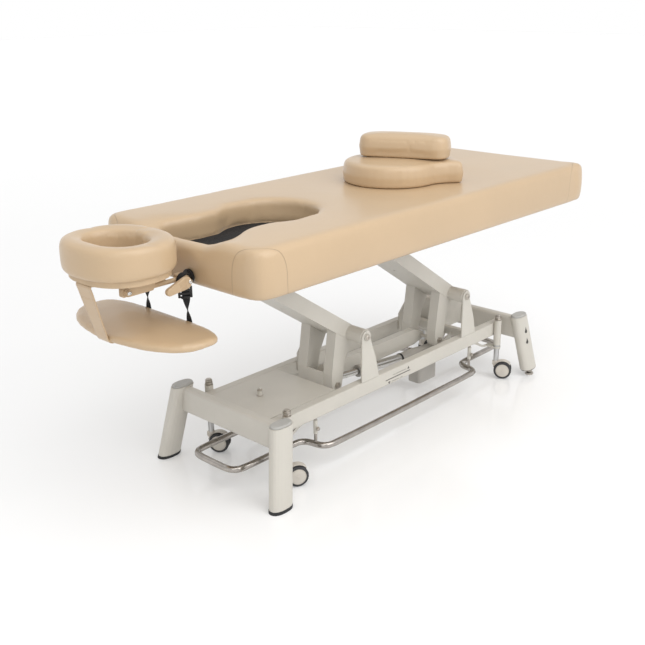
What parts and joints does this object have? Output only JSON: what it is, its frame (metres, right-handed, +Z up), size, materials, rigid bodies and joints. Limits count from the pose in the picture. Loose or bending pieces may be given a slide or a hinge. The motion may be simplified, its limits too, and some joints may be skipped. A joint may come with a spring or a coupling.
{
  "type": "electric massage table",
  "caption": "Padded massage table with a keyhole cut-out, face cradle and armrest shelf, on an electric parallelogram lift with casters and an all-round foot bar.",
  "frame": {"origin": "on the floor, under the centre of the object's bounding box", "axes": "+X toward the foot end along the table's length, +Y across it toward the far side in the picture, +Z up"},
  "size_m": [2.1985, 0.76, 1.0804],
  "materials": {
    "cream_paint": "satin",
    "beige_vinyl": "satin",
    "beige_plastic": "satin",
    "grey_plastic": "satin",
    "black_plastic": "satin",
    "black_fabric": "matte",
    "steel": "satin",
    "grey_motor": "satin",
    "dark_rubber": "matte",
    "board": "matte",
    "pale_box": "satin"
  },
  "bodies": {
    "base": {"rail_near": "cream_paint", "rail_far": "cream_paint", "crossbar_head": "cream_paint", "crossbar_foot": "cream_paint", "tray": "cream_paint", "bracket_head_near": "cream_paint", "bracket_head_far": "cream_paint", "bracket_foot_near": "cream_paint", "bracket_foot_far": "cream_paint", "rear_mount": "cream_paint", "leg_head_near": "cream_paint", "leg_cap_head_near": "grey_plastic", "leg_head_far": "cream_paint", "leg_cap_head_far": "grey_plastic", "leg_foot_near": "cream_paint", "leg_cap_foot_near": "grey_plastic", "leg_foot_far": "cream_paint", "leg_cap_foot_far": "grey_plastic", "shoe_near": "dark_rubber", "shoe_far": "dark_rubber", "actuator": "grey_motor", "control_box": "pale_box"},
    "level_near": {"levelling_foot_near": "steel"},
    "level_far": {"levelling_foot_far": "steel"},
    "head_arm": {"arm_head": "cream_paint"},
    "foot_arm": {"arm_foot": "cream_paint"},
    "link": {"link_bar": "cream_paint"},
    "rod": {"actuator_rod": "steel"},
    "top": {"top_rail_near": "cream_paint", "top_rail_far": "cream_paint", "top_cross_head": "cream_paint", "top_cross_foot": "cream_paint", "deck": "board", "tabletop_cushion": "beige_vinyl", "cutout_floor": "black_fabric", "cradle_socket_near": "black_plastic", "cradle_socket_far": "black_plastic"},
    "cradle": {"cradle_base": "beige_plastic"},
    "lever": {"cam_lever": "beige_plastic"},
    "face": {"face_board": "beige_plastic", "face_cushion": "beige_vinyl"},
    "shelf": {"armrest_shelf": "beige_vinyl", "strap_near": "black_fabric", "strap_far": "black_fabric", "strap_front": "beige_vinyl"},
    "insert": {"insert_cushion": "beige_vinyl"},
    "block": {"block_cushion": "beige_vinyl"},
    "control": {"control_bar": "steel"},
    "carrier_near": {"carrier_near": "cream_paint"},
    "carrier_far": {"carrier_far": "cream_paint"},
    "caster_head_near": {"fork_head_near": "steel"},
    "wheel_head_near": {"wheel_head_near": "dark_rubber"},
    "caster_head_far": {"fork_head_far": "steel"},
    "wheel_head_far": {"wheel_head_far": "dark_rubber"},
    "caster_foot_near": {"fork_foot_near": "steel"},
    "wheel_foot_near": {"wheel_foot_near": "dark_rubber"},
    "caster_foot_far": {"fork_foot_far": "steel"},
    "wheel_foot_far": {"wheel_foot_far": "dark_rubber"}
  },
  "joints": [
    {"name": "lift", "type": "hinge", "parent": "base", "child": "head_arm", "pos_m": [-0.05125, 0, 0.417], "axis": [0, 1, 0], "range_deg": [-30.9, 1.7]},
    {"name": "lift_foot", "type": "hinge", "parent": "base", "child": "foot_arm", "pos_m": [0.57375, 0, 0.417], "axis": [0, 1, 0], "range_deg": [-31, 1.8]},
    {"name": "top_level", "type": "hinge", "parent": "head_arm", "child": "top", "pos_m": [-0.50686, 0, 0.71971], "axis": [0, 1, 0], "range_deg": [-1.8, 31]},
    {"name": "link_level", "type": "hinge", "parent": "head_arm", "child": "link", "pos_m": [-0.12425, 0, 0.232], "axis": [0, 1, 0], "range_deg": [-1.8, 31]},
    {"name": "rod_slide", "type": "slide", "parent": "base", "child": "rod", "axis": [0.9954, 0, -0.0962], "range_m": [-0.0062, 0.1065]},
    {"name": "cradle_slide", "type": "slide", "parent": "top", "child": "cradle", "axis": [-1, 0, 0], "range_m": [0, 0.06]},
    {"name": "face_tilt", "type": "hinge", "parent": "cradle", "child": "face", "pos_m": [-0.98525, 0, 0.789], "axis": [0, 1, 0], "range_deg": [-20, 0]},
    {"name": "cam_turn", "type": "hinge", "parent": "cradle", "child": "lever", "pos_m": [-0.78635, 0, 0.784], "axis": [0, 1, 0], "range_deg": [0, 30]},
    {"name": "shelf_height", "type": "slide", "parent": "cradle", "child": "shelf", "axis": [0, 0, 1], "range_m": [-0.04, 0.04], "deforming": ["strap_near", "strap_far", "strap_front"]},
    {"name": "insert_lift", "type": "slide", "parent": "top", "child": "insert", "axis": [0, 0, 1], "range_m": [0, 0.3]},
    {"name": "block_lift", "type": "slide", "parent": "insert", "child": "block", "axis": [0, 0, 1], "range_m": [0, 0.2]},
    {"name": "control_press", "type": "slide", "parent": "base", "child": "control", "axis": [0, 0, 1], "range_m": [-0.008, 0.008], "stiffness_N_per_m": 20000, "springref_m": 0.00243},
    {"name": "carrier_drop_near", "type": "slide", "parent": "base", "child": "carrier_near", "axis": [0, 0, -1], "range_m": [0, 0.012]},
    {"name": "carrier_drop_far", "type": "slide", "parent": "base", "child": "carrier_far", "axis": [0, 0, -1], "range_m": [0, 0.012]},
    {"name": "level_screw_near", "type": "hinge", "parent": "base", "child": "level_near", "pos_m": [0.92575, -0.289, 0], "axis": [0, 0, 1], "continuous": true},
    {"name": "level_screw_far", "type": "hinge", "parent": "base", "child": "level_far", "pos_m": [0.92575, 0.289, 0], "axis": [0, 0, 1], "continuous": true},
    {"name": "swivel_head_near", "type": "hinge", "parent": "carrier_near", "child": "caster_head_near", "pos_m": [-0.47525, -0.1973, 0.1], "axis": [0, 0, 1], "continuous": true},
    {"name": "swivel_head_far", "type": "hinge", "parent": "carrier_far", "child": "caster_head_far", "pos_m": [-0.47525, 0.1973, 0.1], "axis": [0, 0, 1], "continuous": true},
    {"name": "swivel_foot_near", "type": "hinge", "parent": "carrier_near", "child": "caster_foot_near", "pos_m": [0.79675, -0.1973, 0.1], "axis": [0, 0, 1], "continuous": true},
    {"name": "swivel_foot_far", "type": "hinge", "parent": "carrier_far", "child": "caster_foot_far", "pos_m": [0.79675, 0.1973, 0.1], "axis": [0, 0, 1], "continuous": true},
    {"name": "spin_head_near", "type": "hinge", "parent": "caster_head_near", "child": "wheel_head_near", "pos_m": [-0.44953, -0.21275, 0.039], "axis": [0.515, 0.8572, 0], "continuous": true},
    {"name": "spin_head_far", "type": "hinge", "parent": "caster_head_far", "child": "wheel_head_far", "pos_m": [-0.45847, 0.17243, 0.039], "axis": [0.829, 0.5592, 0], "continuous": true},
    {"name": "spin_foot_near", "type": "hinge", "parent": "caster_foot_near", "child": "wheel_foot_near", "pos_m": [0.81152, -0.22341, 0.039], "axis": [0.8704, 0.4924, 0], "continuous": true},
    {"name": "spin_foot_far", "type": "hinge", "parent": "caster_foot_far", "child": "wheel_foot_far", "pos_m": [0.82629, 0.19209, 0.039], "axis": [0.1736, 0.9848, 0], "continuous": true}
  ],
  "couplings": [
    {"joint": "lift_foot", "follows": "lift", "ratio": 1},
    {"joint": "top_level", "follows": "lift", "ratio": -1},
    {"joint": "link_level", "follows": "lift", "ratio": -1},
    {"joint": "rod_slide", "follows": "lift", "m_per_rad": -0.19646},
    {"joint": "carrier_drop_far", "follows": "carrier_drop_near", "ratio": 1}
  ]
}
